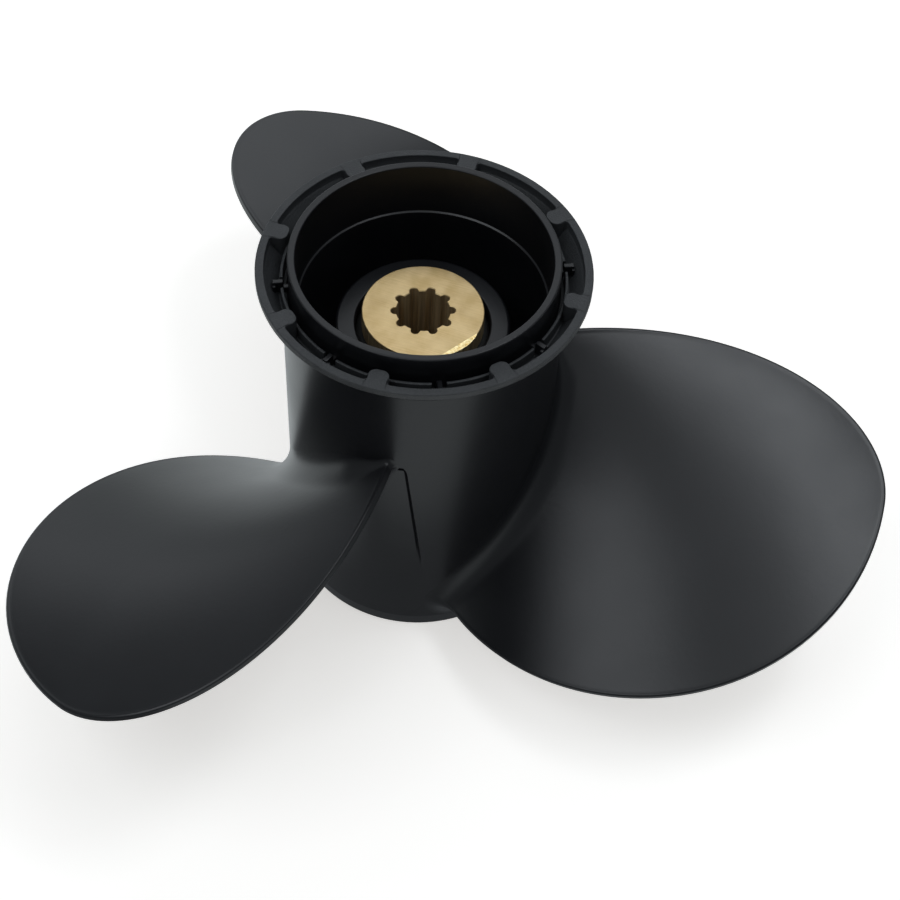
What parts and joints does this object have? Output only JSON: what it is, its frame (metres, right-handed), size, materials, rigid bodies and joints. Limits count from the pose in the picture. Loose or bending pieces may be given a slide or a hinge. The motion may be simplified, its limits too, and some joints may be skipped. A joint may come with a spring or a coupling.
{
  "type": "outboard propeller",
  "caption": "Right-hand outboard propeller with broad round blades, through-hub exhaust barrel, flared end ring and rubber-bushed brass spline hub.",
  "frame": {"origin": "on the shaft axis, level with the flat top of the flare ring, where the gearcase spigot begins", "axes": "+Z along the shaft axis, out of the ring end towards the gearcase; +X along blade 1's reference line"},
  "size_m": [0.1977, 0.2154, 0.1039],
  "materials": {
    "painted_aluminium": "satin black paint on cast aluminium",
    "black_moulding": "fine-grained moulded nylon",
    "rubber": "matt moulded rubber",
    "brass": "turned and broached brass"
  },
  "bodies": {
    "drive_bush": {"drive_bush": "brass"},
    "rubber_bush": {"rubber_bush": "rubber"},
    "propeller": {"barrel": "painted_aluminium", "inner_hub": "painted_aluminium", "rib_1": "painted_aluminium", "rib_2": "painted_aluminium", "rib_3": "painted_aluminium", "blade_1": "painted_aluminium", "blade_2": "painted_aluminium", "blade_3": "painted_aluminium", "flare_ring": "black_moulding"}
  },
  "joints": [
    {"name": "rubber_windup", "type": "hinge", "parent": "drive_bush", "child": "rubber_bush", "pos_m": [0, 0, 0], "axis": [0, 0, 1], "range_deg": [-10, 10], "stiffness_Nm_per_rad": 450},
    {"name": "overload_slip", "type": "hinge", "parent": "rubber_bush", "child": "propeller", "pos_m": [0, 0, 0], "axis": [0, 0, 1], "continuous": true}
  ]
}
